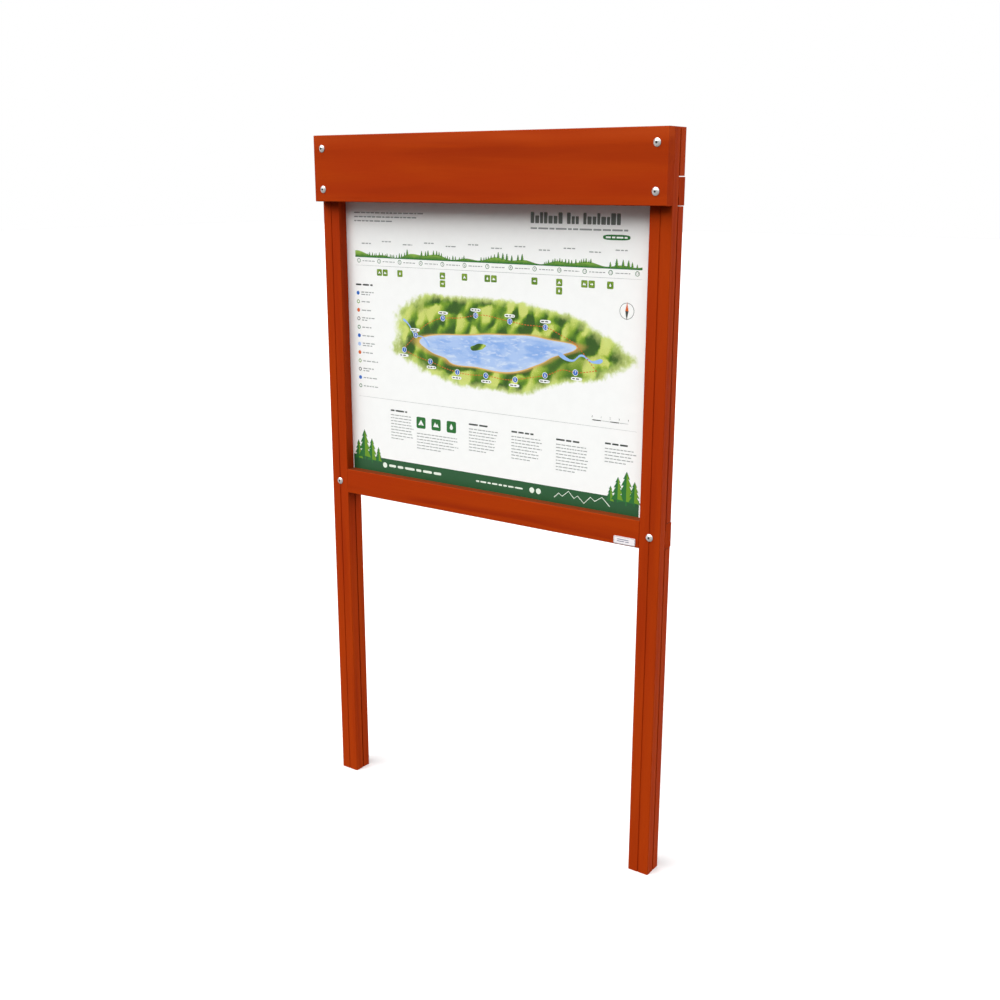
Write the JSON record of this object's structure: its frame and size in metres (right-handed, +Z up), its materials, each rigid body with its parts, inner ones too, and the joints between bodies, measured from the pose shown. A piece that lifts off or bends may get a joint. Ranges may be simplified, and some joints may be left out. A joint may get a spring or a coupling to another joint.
{
  "type": "outdoor notice board",
  "caption": "Free-standing timber notice board: split posts bolted through a deep header board and rails, with a thin printed panel held in rebates.",
  "frame": {"origin": "bottom centre of the whole board, at the level of the posts' feet", "axes": "+Z up, +X along the board to the reader's right, -Y towards the reader"},
  "size_m": [1.67, 0.1621, 2.945],
  "materials": {
    "stained_timber": "orange-red opaque wood stain, satin",
    "stainless_steel": "stainless, satin",
    "zinc_plated_steel": "zinc plated",
    "printed_laminate": "white laminate with a printed face, satin",
    "plate_enamel": "white enamel, blank"
  },
  "bodies": {
    "root": {"header_board": "stained_timber", "rear_rail_upper": "stained_timber", "rear_rail_lower": "stained_timber", "front_rail": "stained_timber", "post_front_left": "stained_timber", "post_rear_lower_left": "stained_timber", "post_rear_middle_left": "stained_timber", "post_rear_top_left": "stained_timber", "post_front_right": "stained_timber", "post_rear_lower_right": "stained_timber", "post_rear_middle_right": "stained_timber", "post_rear_top_right": "stained_timber", "bolt_header_top_left": "stainless_steel", "washer_header_top_left": "stainless_steel", "nut_header_top_left": "stainless_steel", "bolt_header_low_left": "stainless_steel", "washer_header_low_left": "stainless_steel", "nut_header_low_left": "stainless_steel", "bolt_rail_left": "stainless_steel", "washer_rail_left": "stainless_steel", "nut_rail_left": "stainless_steel", "bolt_header_top_right": "stainless_steel", "washer_header_top_right": "stainless_steel", "nut_header_top_right": "stainless_steel", "bolt_header_low_right": "stainless_steel", "washer_header_low_right": "stainless_steel", "nut_header_low_right": "stainless_steel", "bolt_rail_right": "stainless_steel", "washer_rail_right": "stainless_steel", "nut_rail_right": "stainless_steel", "post_screws_left": "zinc_plated_steel", "post_screws_right": "zinc_plated_steel", "rail_screws": "zinc_plated_steel", "notice_panel": "printed_laminate", "maker_plate": "plate_enamel"}
  },
  "joints": []
}
